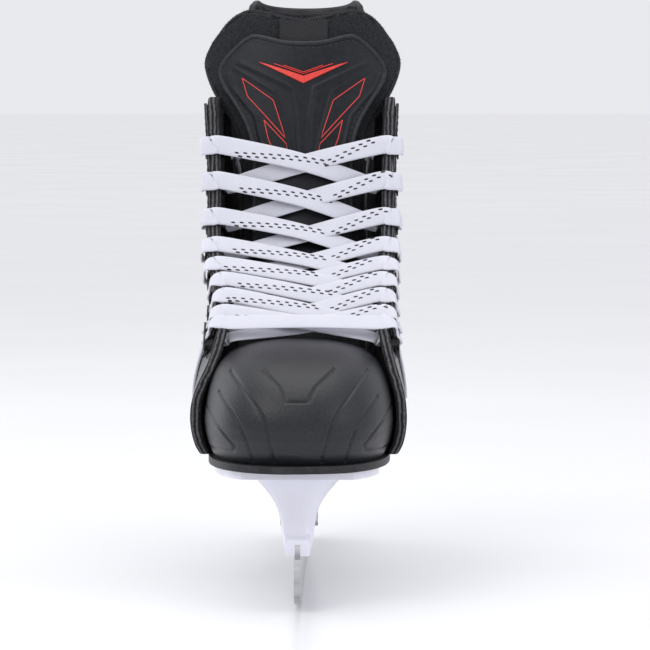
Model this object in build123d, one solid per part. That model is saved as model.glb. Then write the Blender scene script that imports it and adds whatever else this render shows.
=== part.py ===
from build123d import *
import os
from math import copysign, cos, hypot, pi, sin, sqrt

# A right-foot ice-hockey skate, in millimetres.
# +Z is up, the toe points to -Y, +X is the big-toe (medial) side.
# Z = 0 is the lowest point of the runner. d is the distance behind the toe tip.
os.makedirs("parts", exist_ok=True)

# Driving dimensions
LENGTH = 292.0
HALF = LENGTH / 2
WALL = 5.0             # laminated side walls
LINING = 3.8           # soft lining inside the walls
OVERLAY = 1.8          # eyestay, heel counter and side panels outside the walls
GAP = 0.2              # between layers
GUARD_WALL, GUARD_PAD = 4.0, 4.8        # the tendon guard and the pad inside it
ANKLE_PAD = 2.2                         # how far an ankle pad sinks into the lining
CAP_WALL, TOE_LINING = 3.0, 2.0
FORM_FRONT, HOLLOW_FRONT = 40.0, 36.0   # d where the boot form and the hollows in it start
SOLE_FRONT, SOLE_HEEL = 66.0, 74.0      # underside of the outsole
SOLE_THICK, BOARD_THICK, FOOTBED_THICK = 3.5, 2.5, 4.0
RAMP_START, RAMP_END = 115.0, 190.0     # d where the sole climbs to the heel
RUNNER_THICK, RUNNER_TANG, ROCKER = 3.0, 2.6, 3000.0
HOLDER_FOOT = 25.5                      # lowest edge of the holder
SCREW_R = 2.5
RIVET_R, RIVET_HEAD_R, RIVET_HEAD = 2.4, 5.8, 1.2
EYELET_HOLE_R, EYELET_R, EYELET_RIM_R = 2.6, 3.2, 4.6
EYELET_IN = 9.0                         # eyelet centre to the facing edge
LACE_WIDTH, LACE_THICK = 9.5, 1.2
AGLET_LENGTH, AGLET_R = 22.0, 1.6

# Boot form: height, d of the rearmost point, then half widths at the stations and at the heel.
STATIONS = (45.0, 105.0, 150.0, 195.0)
HEEL_RUN, HEEL_CORNER = 45.0, 14.0      # heel stations, measured forward from the rearmost point
FORM_KNOTS = (0.0, 0.23, 0.4, 0.58, 0.75, 0.875, 1.0)   # the same in every section, so lofts stay light
LEVELS = (
    (60.0, 283.0, (40.5, 40.5, 35.0, 32.0, 31.0), (40.5, 40.5, 33.5, 31.0, 31.0)),
    (75.0, 288.5, (49.6, 49.6, 42.5, 38.5, 37.0), (49.6, 49.2, 40.5, 37.0, 37.0)),
    (95.0, 291.5, (50.8, 51.2, 46.0, 42.5, 40.0), (50.8, 50.2, 44.5, 42.0, 40.0)),
    (120.0, 288.0, (39.5, 46.5, 46.2, 44.8, 41.5), (43.5, 46.5, 45.0, 45.5, 42.0)),
    (145.0, 281.5, (35.5, 38.5, 45.5, 45.5, 41.5), (38.5, 42.0, 44.6, 47.0, 43.5)),
    (175.0, 276.0, (40.0, 45.5, 46.4, 45.5, 39.5), (42.0, 44.5, 44.3, 46.0, 41.0)),
    (205.0, 276.5, (41.0, 46.0, 46.9, 46.0, 40.0), (42.0, 44.8, 45.0, 45.2, 40.0)),
    (245.0, 281.0, (45.0, 49.0, 50.0, 48.0, 41.0), (44.0, 47.0, 47.5, 46.5, 41.0)),
    (270.0, 285.5, (45.0, 49.0, 50.0, 48.0, 38.0), (44.0, 47.0, 47.5, 46.5, 38.0)),
    (292.0, 290.0, (45.0, 49.0, 50.0, 48.0, 34.0), (44.0, 47.0, 47.5, 46.5, 34.0)),
)

# Facing edge in side view: the start and one point at each eyelet, then the top, as (d, z).
FACING_START = (70.2, 129.0)
FACING = ((74.0, 130.0), (87.0, 134.0), (103.0, 141.0), (119.0, 148.0), (135.0, 155.0),
          (150.0, 164.0), (161.0, 178.0), (167.5, 196.0), (173.0, 214.0))
FACING_TOP = (178.0, 236.0)
COLLAR = ((186.0, 239.0), (205.0, 234.0), (228.0, 226.0), (246.0, 222.0))
GUARD_BASE = 222.0
GUARD_TOP = 290.5


def at(d):
    """The Y of a point d behind the toe tip."""
    return d - HALF


def curve(points, tangents=None, knots=None):
    """A spline with the same knots for every curve of as many points, so that lofts stay light."""
    even = [i / (len(points) - 1) for i in range(len(points))]
    return Edge.make_spline(points, tangents=tangents, parameters=list(knots or even))


def half_width(side, d, z):
    """Half width of the boot's outer wall, side -1 lateral or +1 medial."""
    i = max(k for k, level in enumerate(LEVELS[:-1]) if level[0] <= max(z, LEVELS[0][0]))
    low, high = LEVELS[i], LEVELS[i + 1]
    t = (z - low[0]) / (high[0] - low[0])
    column = 2 if side < 0 else 3
    tip = low[1] + t * (high[1] - low[1])
    widths = [a + t * (b - a) for a, b in zip(low[column], high[column])]
    places = list(STATIONS) + [tip - HEEL_RUN]
    for a, b, wa, wb in zip(places, places[1:], widths, widths[1:]):
        if d <= b:
            return wa + (wb - wa) * (d - a) / (b - a)
    return widths[-1] * sqrt(max(0.0, 1 - ((d - tip + HEEL_RUN) / HEEL_RUN) ** 2))


def form(inset, front=FORM_FRONT):
    """The boot's outer form, moved inwards by inset, as one closed solid from front to heel."""
    sections = []
    run = HEEL_RUN - inset
    corner = sqrt(1 - ((run - HEEL_CORNER) / run) ** 2)
    for z, tip, lateral, medial in LEVELS:
        edges, noses = [], []
        for side, widths in ((-1, lateral), (1, medial)):
            w = [value - inset for value in widths]
            points = [(side * w[i], at(STATIONS[i]), z) for i in (0, 1, 2, 3)]
            points += [(side * w[4], at(tip - HEEL_RUN), z)]
            points += [(side * w[4] * corner, at(tip - inset - HEEL_CORNER), z), (0, at(tip - inset), z)]
            edges.append(curve(points, [(0, 1, 0), (-side, 0, 0)], FORM_KNOTS))
            noses.append(Vector(side * w[0], at(front), z))
        turns = [edges[1] @ 0, noses[1], noses[0], edges[0] @ 0]
        edges += [Edge.make_line(a, b) for a, b in zip(turns, turns[1:])]
        sections.append(Face(Wire(edges)))
    return loft(sections)


def side_prism(points, x0, x1):
    """A side-view outline of (d, z) points, extruded from x0 to x1."""
    face = make_face(Polyline(*[(x0, at(d), z) for d, z in points], close=True))
    return extrude(face, amount=x1 - x0, dir=(1, 0, 0))


def sole_z(d):
    """Underside of the outsole at d."""
    t = min(1.0, max(0.0, (d - RAMP_START) / (RAMP_END - RAMP_START)))
    return SOLE_FRONT + t * (SOLE_HEEL - SOLE_FRONT)


def sole_band(low, high):
    """Everything between two heights above the outsole's underside."""
    knees = (-20.0, RAMP_START, RAMP_END, LENGTH + 20)
    under = [(d, sole_z(d) + low) for d in knees]
    over = [(d, sole_z(d) + high) for d in reversed(knees)]
    return side_prism(under + over, -80, 80)


def sole_outline(inset, z0, z1):
    """The sole's plan, moved inwards by inset, extruded from z0 to z1."""
    nose, tip, width, heel, heel_width = 74.0, 2.5, 43.5, 243.0, 34.0
    lateral = ((105.0, 43.0), (150.0, 38.5), (200.0, 34.5), (heel, heel_width))
    medial = ((105.0, 42.5), (150.0, 36.5), (200.0, 33.0), (heel, heel_width))
    front, back = (0.0, at(tip + inset), z0), (0.0, at(heel + 45.0 - inset), z0)
    halves = []
    for side, run in ((-1, lateral), (1, medial)):
        bend = []
        for degrees in (25, 50, 70):
            a = degrees * pi / 180
            x = (width - inset) * sin(a) ** 0.8
            bend.append((x, nose - (nose - tip - inset) * cos(a) ** 0.8))
        bend += [(width - inset, nose)] + [(w - inset, d) for d, w in run]
        for degrees in (25, 50, 70):
            a = degrees * pi / 180
            bend.append(((heel_width - inset) * cos(a), heel + (45.0 - inset) * sin(a)))
        halves.append([(side * x, at(d), z0) for x, d in bend])
    rim = Edge.make_spline([front] + halves[0] + [back] + halves[1][::-1], periodic=True)
    return extrude(Face(Wire([rim])), amount=z1 - z0, dir=(0, 0, 1))


# The toe cap's plan is half a superellipse. It stands on a short tucked skirt, given as
# (height, scale), and over that its reach and its width shrink towards the top, each its own way.
CAP_MID, CAP_BASE, CAP_RISE, CAP_WIDTH = 74.0, 86.0, 37.5, 45.4


def cap_form(inset):
    skirt = ((66.0, 0.84), (69.0, 0.9), (75.0, 0.955), (81.0, 0.99), (CAP_BASE, 1.0))
    levels = [(z, k, k) for z, k in skirt]
    for t in (0.3, 0.55, 0.75, 0.89, 0.97):
        wide = (1 - 0.26 * t ** 1.8) * sqrt(1 - t ** 9)
        levels.append((CAP_BASE + CAP_RISE * t, (1 - t ** 2.05) ** 0.49, wide))
    sections = []
    for z, k, wide in levels:
        lower = inset if z > CAP_BASE else 0.4 * inset
        w = CAP_WIDTH * wide - inset
        reach = CAP_MID * k - inset
        points = []
        for degrees in (90, 68, 45, 22, 0, -22, -45, -68, -90):
            a = degrees * pi / 180
            x = -copysign(abs(sin(a)) ** 0.8, a) * w
            points.append((x, at(CAP_MID - reach * cos(a) ** 0.8), z - lower))
        nose = curve(points, [(0, -1, 0), (0, 1, 0)])
        back = at(CAP_MID + 30 + inset)
        turns = [nose @ 1, (w, back, z - lower), (-w, back, z - lower), nose @ 0]
        rear = [Edge.make_line(a, b) for a, b in zip(turns, turns[1:])]
        sections.append(Face(Wire([nose] + rear)))
    return loft(sections)


# Side-view outlines
CAP_EDGE = ((68.7, 140.0), (90.5, 60.0))          # the cap's rear edge, a slanted plane
QUARTER_FRONT = ((70.2, 129.0), (64.0, 118.0), (58.0, 105.0), (54.0, 90.0), (53.0, 78.0), (57.0, 69.5))


def cap_edge(shift):
    return [(d + shift, z) for d, z in CAP_EDGE]


def facing_inset(step):
    """The facing edge moved back and down by step."""
    points = [FACING_START] + list(FACING) + [FACING_TOP]
    moved = []
    for i, (d, z) in enumerate(points):
        a, b = points[max(i - 1, 0)], points[min(i + 1, len(points) - 1)]
        run, rise = b[0] - a[0], b[1] - a[1]
        size = hypot(run, rise)
        moved.append((d + step * rise / size, z - step * run / size))
    return moved


def normal(k):
    """Unit tangent and outward normal, in (d, z), of the facing edge at eyelet k."""
    points = [FACING_START] + list(FACING) + [FACING_TOP]
    a, b = points[k], points[k + 2]
    run, rise = b[0] - a[0], b[1] - a[1]
    size = hypot(run, rise)
    return (run / size, rise / size), (-rise / size, run / size)


def eyelet_place(k):
    (d, z), (_, n) = FACING[k], normal(k)
    return d - n[0] * EYELET_IN, z - n[1] * EYELET_IN


def wall_profile():
    """Side-view outline of a quarter."""
    edge = [FACING_START] + list(FACING) + [FACING_TOP]
    back = [(LENGTH + 10, GUARD_BASE - 0.3), (LENGTH + 10, sole_z(LENGTH) + SOLE_THICK)]
    under = [(RAMP_END, sole_z(RAMP_END) + SOLE_THICK), (RAMP_START, sole_z(0) + SOLE_THICK)]
    return edge + list(COLLAR) + back + under + list(reversed(QUARTER_FRONT[1:]))


def across(shape, side):
    """The half of a shape on one side of the middle."""
    return shape & Pos(side * 100, 0, 150) * Box(200 - 2 * GAP, 500, 500)


def eyelet_tools(side, radius, x0, x1):
    """Cylinders along X at every eyelet, from x0 to x1 measured from the outer wall."""
    tools = []
    for k in range(len(FACING)):
        d, z = eyelet_place(k)
        w = half_width(side, d, z)
        middle = side * (w + (x0 + x1) / 2)
        tools.append(Pos(middle, at(d), z) * Rot(0, 90, 0) * Cylinder(radius, abs(x1 - x0)))
    return tools


def quarter(side, wall, holes):
    solid = across(wall & side_prism(wall_profile(), -80, 80), side)
    return solid - holes


def eyestay(side, skin, holes):
    band = facing_inset(0.6)[1:] + list(reversed(facing_inset(17.0)[1:]))
    return across(skin & side_prism(band, -80, 80), side) - holes


def eyelets(side):
    """A row of crimped tubes with an outer rim and an inner roll."""
    rims = eyelet_tools(side, EYELET_RIM_R, OVERLAY + 0.5, OVERLAY + 1.4)
    tubes = eyelet_tools(side, EYELET_R, -WALL - 0.6, OVERLAY + 1.0)
    rolls = eyelet_tools(side, EYELET_R + 0.9, -WALL - 1.3, -WALL - 0.5)
    bores = eyelet_tools(side, EYELET_HOLE_R, -WALL - 4, OVERLAY + 4)
    return [(a + b + c) - hole for a, b, c, hole in zip(rims, tubes, rolls, bores)]


def side_panel(side, skin):
    """The pale overlay that runs from the eyestay down to the sole behind the ball of the foot."""
    top = facing_inset(17.6)[2:9]
    outline = top + [(194.0, 184.0), (199.0, 150.0), (214.0, 118.0), (206.0, 104.0), (150.0, 98.0),
                     (104.0, 92.0)]
    return across(skin & side_prism(outline, -80, 80), side)


def lining(side, layer, pads):
    profile = ((92.0, 98.0), (110.0, 110.0), (142.0, 122.0), (170.0, 140.0), (188.0, 166.0),
               (196.0, 198.0), (200.0, 232.0), (206.0, 231.0), (228.0, 223.0), (246.0, 219.0),
               (300.0, 219.0), (300.0, 81.0), (190.0, 81.0), (115.0, 73.0), (96.0, 73.0))
    return across(layer & side_prism(profile, -80, 80), side) - pads


def ankle_zone(side, grow=0.0):
    d, z = 228.0, 152.0 if side > 0 else 147.0
    pad = Pos(side * 40, at(d), z) * Rot(0, 90, 0) * Cylinder(20 + grow, 60)
    return pad


def heel_counter(skin):
    outline = ((300.0, 79.0), (300.0, 132.0), (268.0, 130.0), (248.0, 116.0), (228.0, 92.0), (226.0, 79.0))
    return skin & side_prism(outline, -80, 80)


def guard_profile(grow):
    """Side-view outline of the tendon guard; grow is negative for the pad inside it."""
    low = GUARD_BASE - min(grow, 0.0)
    return ((247.0 - grow, low), (253.5 - grow, 244.0), (259.5 - grow, 266.0),
            (265.0 - grow, GUARD_TOP - 3 + grow), (271.0 - grow, GUARD_TOP + grow),
            (300.0, GUARD_TOP + grow), (300.0, low))


# Tongue: the front surface on the centre line in side view, as (d, z)
TONGUE = ((62.0, 107.5), (85.0, 118.0), (104.0, 127.5), (121.0, 136.0), (138.0, 145.0), (154.0, 156.0),
          (166.0, 173.0), (172.5, 193.0), (176.5, 210.0), (179.5, 226.0), (182.5, 240.0),
          (186.0, 256.0), (190.0, 270.0), (194.5, 286.0))
TONGUE_SPLIT = 226.0   # the felt and the shield bend here, above the top lace
ARCH = 9.0             # how far the tongue's sides fall back from its middle


def tongue_place(z):
    """The tongue line's d at a height, and its forward normal in (d, z)."""
    i = max(k for k, point in enumerate(TONGUE[:-1]) if point[1] <= max(z, TONGUE[0][1]))
    (d0, z0), (d1, z1) = TONGUE[i], TONGUE[i + 1]
    t = (z - z0) / (z1 - z0)
    p0, p3 = TONGUE[max(i - 1, 0)], TONGUE[min(i + 2, len(TONGUE) - 1)]
    slope0, slope1 = (d1 - p0[0]) / (z1 - p0[1]), (p3[0] - d0) / (p3[1] - z0)
    slope = slope0 + t * (slope1 - slope0)
    size = sqrt(1 + slope * slope)
    return d0 + t * (d1 - d0), (-1 / size, slope / size)


def tongue_plate(stations, front, thick, steps=8):
    """A curved plate on the tongue. Each station is (x, lowest z, highest z), front is how far
    its face lies ahead of the tongue line, and thick gives its thickness at x."""
    faces = []
    for x, low, high in stations:
        fall = ARCH * (x / 40.0) ** 2
        outer, inner = [], []
        for i in range(steps + 1):
            z = low + (high - low) * i / steps
            d, (nd, nz) = tongue_place(z)
            for points, move in ((outer, front - fall), (inner, front - fall - thick(x))):
                points.append((x, at(d + nd * move), z + nz * move))
        a, b = curve(outer), curve(list(reversed(inner)))
        ends = [Edge.make_line(a @ 1, b @ 0), Edge.make_line(b @ 1, a @ 0)]
        faces.append(Face(Wire([a, ends[0], b, ends[1]])))
    return loft(faces)


def felt_thick(x):
    return 8.0 - 3.0 * (x / 50.0) ** 2


def tongue_felt_lower():
    stations = [(x, 109.5, TONGUE_SPLIT - 1.6) for x in (-31, -16, 0, 16, 31)]
    return tongue_plate(stations, 0.0, felt_thick, 14)


def tongue_felt_upper():
    right = ((0.0, 226.4, 279.5), (18.0, 226.4, 283.5), (29.0, 227.0, 285.5), (36.0, 232.0, 283.0),
             (41.0, 243.0, 279.0), (45.0, 248.0, 274.0), (49.0, 256.0, 266.0))
    left = [(-x * 1.02, low, high) for x, low, high in reversed(right[1:])]
    return tongue_plate(left + list(right), 0.0, felt_thick)


def tongue_shield_lower():
    stations = [(x, 138.0, TONGUE_SPLIT - 1.6) for x in (-25, -12, 0, 12, 25)]
    return tongue_plate(stations, 3.3, lambda x: 2.5, 14)


def tongue_shield_upper():
    right = ((0.0, 226.4, 266.5), (12.0, 226.4, 269.0), (25.0, 226.4, 271.0), (34.0, 236.0, 266.0),
             (41.0, 247.0, 259.0))
    left = [(-x * 1.02, low, high) for x, low, high in reversed(right[1:])]
    return tongue_plate(left + list(right), 3.3, lambda x: 3.0)


def tongue_patch():
    stations = [(x, 270.5, 279.0) for x in (-12, 0, 12)]
    return tongue_plate(stations, 1.5, lambda x: 1.0)


def tongue_chevron():
    """A plain V of trim on the shield."""
    stations = [(x, 245.8 + 0.45 * abs(x), 250.3 + 0.45 * abs(x)) for x in (-18, -9, 0, 9, 18)]
    return tongue_plate(stations, 4.4, lambda x: 0.8)


def runner():
    """The steel: a hollow-ground plate with a thinner tang and two drilled lugs in the holder."""
    lift = 128.0 ** 2 / (2 * ROCKER)
    foot = Line((0, -137.0, HOLDER_FOOT), (0, -136.0, 20.0))
    toe = ThreePointArc((0, -136.0, 20.0), (0, -131.5, 7.5), (0, -120.0, lift * 0.88))
    keel = ThreePointArc((0, -120.0, lift * 0.88), (0, 0, 0), (0, 120.0, lift * 0.88))
    heel = ThreePointArc((0, 120.0, lift * 0.88), (0, 131.0, 7.5), (0, 134.0, 18.0))
    back = Line((0, 134.0, 18.0), (0, 134.0, HOLDER_FOOT))
    top = Line((0, 134.0, HOLDER_FOOT), (0, -137.0, HOLDER_FOOT))
    blade = extrude(make_face(foot + toe + keel + heel + back + top), amount=RUNNER_THICK / 2,
                    dir=(1, 0, 0), both=True)
    tang = Pos(0, -1.5, HOLDER_FOOT + 2.5) * Box(RUNNER_TANG, 245, 5)
    for y in SCREW_Y:
        tang += Pos(0, y, HOLDER_FOOT + 10) * Box(RUNNER_TANG, 22, 20)
        tang -= Pos(0, y, SCREW_Z) * Rot(0, 90, 0) * Cylinder(SCREW_R + 0.1, 10)
    groove = Pos(0, 0, -1.6) * Rot(90, 0, 0) * Cylinder(1.65, 400)
    return blade + tang - groove


SCREW_Y, SCREW_Z = (-82.0, 84.0), 39.0
FRONT_TOWER = ((HOLDER_FOOT, 5.6, 24.0, 108.0), (31.0, 7.0, 25.0, 106.0), (38.0, 7.9, 27.0, 103.0),
               (46.0, 9.6, 28.0, 101.0), (53.0, 13.7, 27.0, 103.0), (58.0, 18.2, 26.0, 108.0),
               (62.5, 21.5, 25.0, 113.0))
REAR_TOWER = ((HOLDER_FOOT, 5.6, 192.0, 272.0), (31.0, 7.0, 194.0, 270.0), (42.0, 8.0, 197.0, 266.0),
              (54.0, 9.6, 197.0, 264.0), (62.0, 13.0, 194.0, 266.0), (67.0, 15.5, 190.0, 269.0),
              (70.5, 18.0, 187.0, 271.0))


def tower(levels):
    sections = []
    for z, w, front, back in levels:
        plan = RectangleRounded(2 * w, back - front, w * 0.8)
        sections.append(Pos(0, at((front + back) / 2), z) * plan)
    return loft(sections)


def rivet_places(rows):
    return [(x, d) for d, left, right in rows for x in (left, right)]


FRONT_RIVETS = rivet_places(((37.0, -27.0, 26.0), (66.0, -31.0, 30.0), (103.0, -31.0, 29.0)))
REAR_RIVETS = rivet_places(((199.0, -25.0, 24.5), (258.0, -26.0, 26.0)))


def blade_holder():
    plan = sole_outline(3.0, 50.0, 90.0)
    front = plan & Pos(-2.5, at(65), 64) * Box(81, 98, 4)
    rear = plan & Pos(0, at(234), 72) * Box(80, 86, 4)
    rail_line = ((22.0, HOLDER_FOOT), (280.0, HOLDER_FOOT), (280.0, 33.0), (266.0, 37.0), (190.0, 37.0),
                 (150.0, 35.0), (110.0, 37.0), (34.0, 37.0), (22.0, 33.0))
    rail = side_prism(rail_line, -5.6, 5.6)
    solid = front + rear + tower(FRONT_TOWER) + tower(REAR_TOWER) + rail
    solid -= Pos(0, 0, HOLDER_FOOT + 2.55) * Box(RUNNER_TANG, 300, 5.1)
    for y in SCREW_Y:
        solid -= Pos(0, y, HOLDER_FOOT + 10.1) * Box(RUNNER_TANG, 22.4, 20.2)
        solid -= Pos(0, y, SCREW_Z) * Rot(0, 90, 0) * Cylinder(SCREW_R, 60)
        solid -= Pos(-21.0, y, SCREW_Z) * Rot(0, 90, 0) * Cylinder(4.6, 30)
        solid -= Pos(21.0, y, SCREW_Z) * Rot(0, 90, 0) * extrude(RegularPolygon(4.8, 6), 15, both=True)
    for x, d in FRONT_RIVETS + REAR_RIVETS:
        solid -= Pos(x, at(d), 66) * Cylinder(RIVET_R, 30)
    return solid


def runner_screws():
    parts = []
    for y in SCREW_Y:
        head = Pos(-7.5, y, SCREW_Z) * Rot(0, 90, 0) * Cylinder(4.2, 3)
        head -= Pos(-8.4, y, SCREW_Z) * Rot(0, 90, 0) * extrude(RegularPolygon(1.7, 6), 1, both=True)
        shank = Pos(1.0, y, SCREW_Z) * Rot(0, 90, 0) * Cylinder(SCREW_R - 0.05, 14)
        parts.append(head + shank)
    return parts


def runner_nuts():
    parts = []
    for y in SCREW_Y:
        nut = Pos(7.5, y, SCREW_Z) * Rot(0, 90, 0) * extrude(RegularPolygon(4.6, 6), 1.5, both=True)
        parts.append(nut - Pos(7.5, y, SCREW_Z) * Rot(0, 90, 0) * Cylinder(SCREW_R - 0.05, 20))
    return parts


def rivets(places, flange_under, board_top):
    parts = []
    for x, d in places:
        shank = Pos(x, at(d), (flange_under + board_top) / 2) * Cylinder(RIVET_R, board_top - flange_under)
        head = Pos(x, at(d), flange_under - RIVET_HEAD / 2) * Cylinder(RIVET_HEAD_R, RIVET_HEAD)
        edge = head.edges().group_by(Axis.Z)[0]
        head = fillet(edge, RIVET_HEAD * 0.7)
        crimp = Pos(x, at(d), board_top + 0.5) * Cylinder(RIVET_R + 1.2, 1.0)
        parts.append(shank + head + crimp)
    return parts


def rivet_holes(grow=0.0):
    return [Pos(x, at(d), 75) * Cylinder(RIVET_R + grow, 60) for x, d in FRONT_RIVETS + REAR_RIVETS]


def outsole():
    return sole_outline(0.0, 60.0, 90.0) & sole_band(0.0, SOLE_THICK)


def insole_board():
    return sole_outline(10.9, 60.0, 95.0) & sole_band(SOLE_THICK, SOLE_THICK + BOARD_THICK)


def footbed():
    low = SOLE_THICK + BOARD_THICK + 1.1
    return sole_outline(13.9, 60.0, 95.0) & sole_band(low, low + FOOTBED_THICK)


def toe_cap():
    solid = cap_form(0.0) - cap_form(CAP_WALL)
    keep = [(-20.0, 140.0)] + cap_edge(0.0) + [(-20.0, 60.0)]
    solid = solid & side_prism(keep, -80, 80)
    return solid & sole_band(SOLE_THICK, 90)


def toe_lining():
    solid = cap_form(CAP_WALL + GAP) - cap_form(CAP_WALL + GAP + TOE_LINING)
    keep = [(-20.0, 140.0)] + cap_edge(-19.0) + [(-20.0, 60.0)]
    solid = solid & side_prism(keep, -80, 80)
    return solid & sole_band(SOLE_THICK + 0.2, 90)


def unit(v):
    size = sqrt(sum(c * c for c in v))
    return tuple(c / size for c in v)


def lace_half(start_side):
    """Half the lace as a list of lengths, each from one eyelet's middle to the next. A length is
    a list of (point, thickness direction, width, thickness)."""
    (_, n) = normal(0)
    length = [((0.0, at(FACING[0][0] + 1.8 * n[0]), FACING[0][1] + 1.8 * n[1]), (0, n[0], n[1]),
               LACE_WIDTH, LACE_THICK)]
    side = start_side
    lengths = []
    for k in range(len(FACING)):
        way = over_edge(side, k)
        lengths.append(length + way[:IN_HOLE + 1])
        length = way[IN_HOLE:]
        if k + 1 < len(FACING):
            (d, z), (_, n) = FACING[k], normal(k)
            (d2, z2) = FACING[k + 1]
            lift = LACE_LIFT[k] + (-LACE_THICK if side < 0 else LACE_THICK)
            middle = (0.0, at((d + d2) / 2 + lift * n[0]), (z + z2) / 2 + lift * n[1])
            length.append((middle, (0, n[0], n[1]), LACE_WIDTH, LACE_THICK))
            side = -side
    return lengths + [length + tucked_end(side)]


IN_HOLE = 5            # place in over_edge of the point inside the eyelet
LACE_LIFT = (-2.6, -2.6, -2.6, -2.6, -2.6, -0.8, 0.7, 2.0)    # each crossing, above the edges


def over_edge(side, k):
    """From the middle over the facing's edge at eyelet k and through the eyelet to the inside."""
    (d, z), (_, n) = FACING[k], normal(k)
    hd, hz = eyelet_place(k)
    w = half_width(side, d, z)
    hw = half_width(side, hd, hz)
    up, flat = (0, n[0], n[1]), (side, 0, 0)
    lean = unit((side, n[0], n[1]))

    def spot(x, step):
        return (side * x, at(d + step * n[0]), z + step * n[1])

    def hole(x):
        return (side * x, at(hd), hz)

    def inside(x, step):
        return (side * x, at(hd + step * n[0]), hz + step * n[1])

    return [(spot(w - 8.0, 1.2), up, LACE_WIDTH, LACE_THICK),
            (spot(w - 1.0, 1.6), up, LACE_WIDTH, LACE_THICK),
            (spot(w + 4.2, 0.2), lean, LACE_WIDTH, LACE_THICK),
            (spot(w + 5.0, -4.2), flat, LACE_WIDTH - 1.5, LACE_THICK),
            (hole(hw + 4.5), lean, 3.6, 1.8),
            (hole(hw - 2.0), up, 3.6, 2.0),
            (hole(hw - 7.4), up, 3.6, 1.6),
            (inside(hw - 10.5, 3.0), unit((-side, n[0], n[1])), 7.0, LACE_THICK)]


TUCK_IN = 12.3         # the spare ends, inside the outer wall


def tucked_end(side):
    """The spare end, down the inside of the lining."""
    run = ((194.0, 204.0), (205.0, 186.0), (210.0, 160.0), (206.0, 134.0))
    return [((side * (half_width(side, d, z) - TUCK_IN), at(d), z), (side, 0, 0), 7.0, LACE_THICK)
            for d, z in run]


def strip(route):
    """A flat ribbon along the route, one block for each span, fused to one solid."""
    blocks = []
    for (p0, way0, width0, thick0), (p1, way1, width1, thick1) in zip(route, route[1:]):
        start, end = Vector(*p0), Vector(*p1)
        along = (end - start).normalized()
        face_way = Vector(*way0) + Vector(*way1)
        face_way = (face_way - along * face_way.dot(along)).normalized()
        plane = Plane(origin=(start + end) * 0.5, x_dir=along, z_dir=face_way)
        thick, width = min(thick0, thick1), min(width0, width1)
        blocks.append(plane * Box((end - start).length + 0.8 * thick, width, thick))
    return blocks[0].fuse(*blocks[1:])


def save(name, shape):
    if isinstance(shape, (list, tuple)):
        shape = Compound(children=list(shape))
    shape.label = name
    export_step(shape, f"parts/{name}.step")


def main():
    outer = form(0.0)
    wall = outer - form(WALL, HOLLOW_FRONT)
    skin = form(-OVERLAY) - form(-GAP, HOLLOW_FRONT)
    inside = WALL + GAP
    layer = form(inside, HOLLOW_FRONT) - form(inside + LINING, HOLLOW_FRONT - 4)
    pad_layer = form(inside, HOLLOW_FRONT) - form(inside + ANKLE_PAD, HOLLOW_FRONT - 4)
    for side, name in ((-1, "lateral"), (1, "medial")):
        holes = eyelet_tools(side, EYELET_R, -WALL - 5, OVERLAY + 5)
        save(f"quarter_{name}", quarter(side, wall, holes))
        save(f"eyestay_{name}", eyestay(side, skin, holes))
        save(f"eyelets_{name}", eyelets(side))
        save(f"side_panel_{name}", side_panel(side, skin))
        save(f"lining_{name}", lining(side, layer, pad_layer & ankle_zone(side, 0.2)))
        save(f"ankle_pad_{name}", pad_layer & ankle_zone(side))
    save("heel_counter", heel_counter(skin))
    guard = outer - form(GUARD_WALL, HOLLOW_FRONT)
    save("tendon_guard", guard & side_prism(guard_profile(0.0), -80, 80))
    inside = GUARD_WALL + GAP
    pad = form(inside, HOLLOW_FRONT) - form(inside + GUARD_PAD, HOLLOW_FRONT - 4)
    save("tendon_pad", pad & side_prism(guard_profile(-3.0), -80, 80))
    save("toe_cap", toe_cap())
    save("toe_lining", toe_lining())
    save("outsole", outsole() - rivet_holes())
    save("insole_board", insole_board() - rivet_holes())
    save("footbed", footbed())
    save("blade_holder", blade_holder())
    save("runner", runner())
    save("runner_screws", runner_screws())
    save("runner_nuts", runner_nuts())
    save("front_rivets", rivets(FRONT_RIVETS, 62.0, SOLE_FRONT + SOLE_THICK + BOARD_THICK))
    save("rear_rivets", rivets(REAR_RIVETS, 70.0, SOLE_HEEL + SOLE_THICK + BOARD_THICK))
    save("tongue_felt_lower", tongue_felt_lower())
    save("tongue_felt_upper", tongue_felt_upper())
    save("tongue_shield_lower", tongue_shield_lower())
    save("tongue_shield_upper", tongue_shield_upper())
    save("tongue_patch", tongue_patch())
    save("tongue_chevron", tongue_chevron())
    save("lace", [strip(length) for side in (-1, 1) for length in lace_half(side)])
    ends = []
    for side in (-1, 1):
        d, z = 205.5, 130.0
        place = Pos(side * (half_width(side, d, z) - TUCK_IN), at(d), z - AGLET_LENGTH / 2)
        ends.append(place * Cylinder(AGLET_R, AGLET_LENGTH))
    save("lace_aglets", ends)


main()
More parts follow.
